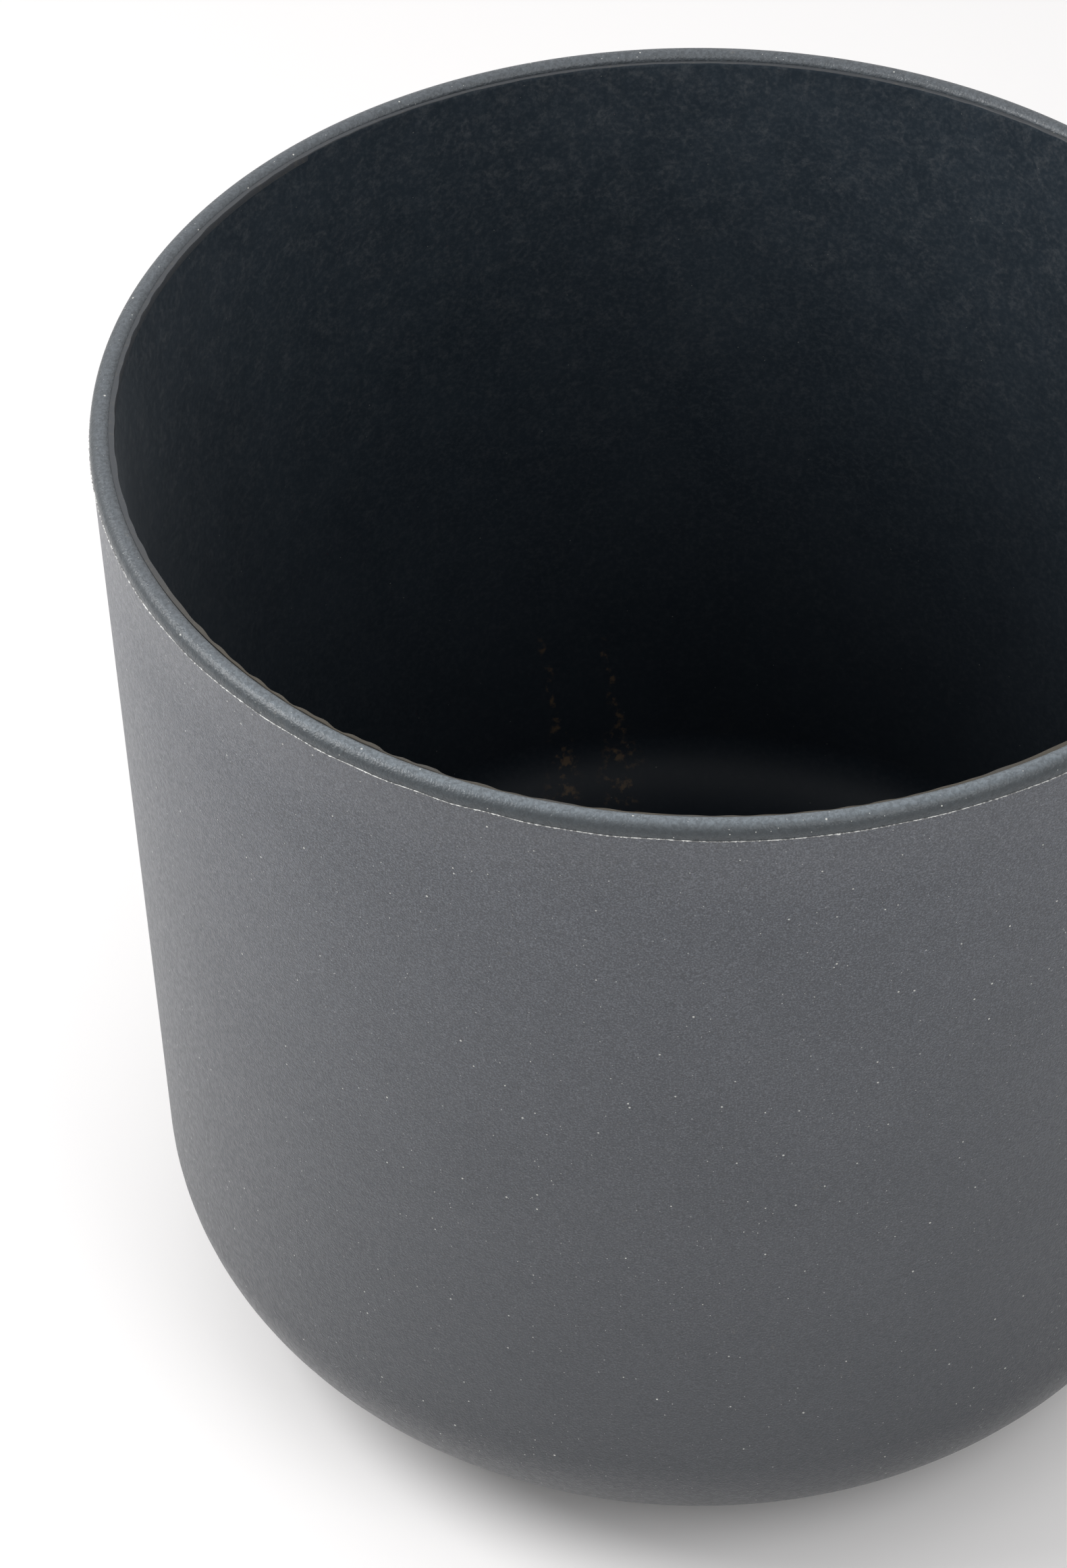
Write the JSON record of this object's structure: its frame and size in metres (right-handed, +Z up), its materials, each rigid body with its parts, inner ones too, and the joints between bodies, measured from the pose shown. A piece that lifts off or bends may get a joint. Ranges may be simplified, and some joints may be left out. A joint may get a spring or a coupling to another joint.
{
  "type": "self watering planter",
  "caption": "Round self-watering planter: an outer reservoir pot with a bead rim, a lift-out soil pot on wicking wells, a fill tube with a flap and a float gauge.",
  "frame": {"origin": "centre of the base, on the ground plane", "axes": "+Z up along the pot's axis; +X towards the fill tube and the float gauge, which share one bracket"},
  "size_m": [0.295, 0.295, 0.277],
  "materials": {
    "outer_plastic": "spark-eroded matt grain, smoother on the bead rim",
    "inner_plastic": "smooth satin",
    "well_plastic": "satin",
    "tube_plastic": "satin",
    "rubber": "matt",
    "steel": "drawn wire",
    "float_foam": "matt",
    "marker_red": "gloss",
    "clear_plastic": "clear gloss"
  },
  "bodies": {
    "outer_pot": {"outer_pot": "outer_plastic"},
    "inner_pot": {"inner_pot": "inner_plastic", "soil_platform": "inner_plastic", "wicking_well_1": "well_plastic", "wicking_well_2": "well_plastic", "wicking_well_3": "well_plastic", "wicking_well_4": "well_plastic", "fill_tube": "tube_plastic", "fill_funnel": "tube_plastic", "flap_hinge_pin": "steel", "gauge_tube": "tube_plastic", "gauge_strainer": "well_plastic", "stem_guide": "well_plastic", "tube_grommets": "rubber", "tube_bracket": "tube_plastic"},
    "drain_plug": {"drain_plug": "rubber"},
    "fill_flap": {"fill_flap": "tube_plastic"},
    "gauge_float": {"gauge_float": "float_foam", "gauge_stem": "float_foam", "gauge_marker": "marker_red"},
    "gauge_cap": {"gauge_cap": "clear_plastic"}
  },
  "joints": [
    {"name": "inner_pot_lift", "type": "slide", "parent": "outer_pot", "child": "inner_pot", "axis": [0, 0, 1], "range_m": [0, 0.3]},
    {"name": "drain_plug_pull", "type": "slide", "parent": "outer_pot", "child": "drain_plug", "axis": [0, 0, -1], "range_m": [0, 0.03]},
    {"name": "fill_flap_hinge", "type": "hinge", "parent": "inner_pot", "child": "fill_flap", "pos_m": [0.1302, -0.0175, 0.2632], "axis": [0, 1, 0], "range_deg": [0, 95]},
    {"name": "gauge_float_rise", "type": "slide", "parent": "inner_pot", "child": "gauge_float", "axis": [0, 0, 1], "range_m": [0, 0.016]},
    {"name": "gauge_cap_lift", "type": "slide", "parent": "inner_pot", "child": "gauge_cap", "axis": [0, 0, 1], "range_m": [0, 0.04]}
  ]
}
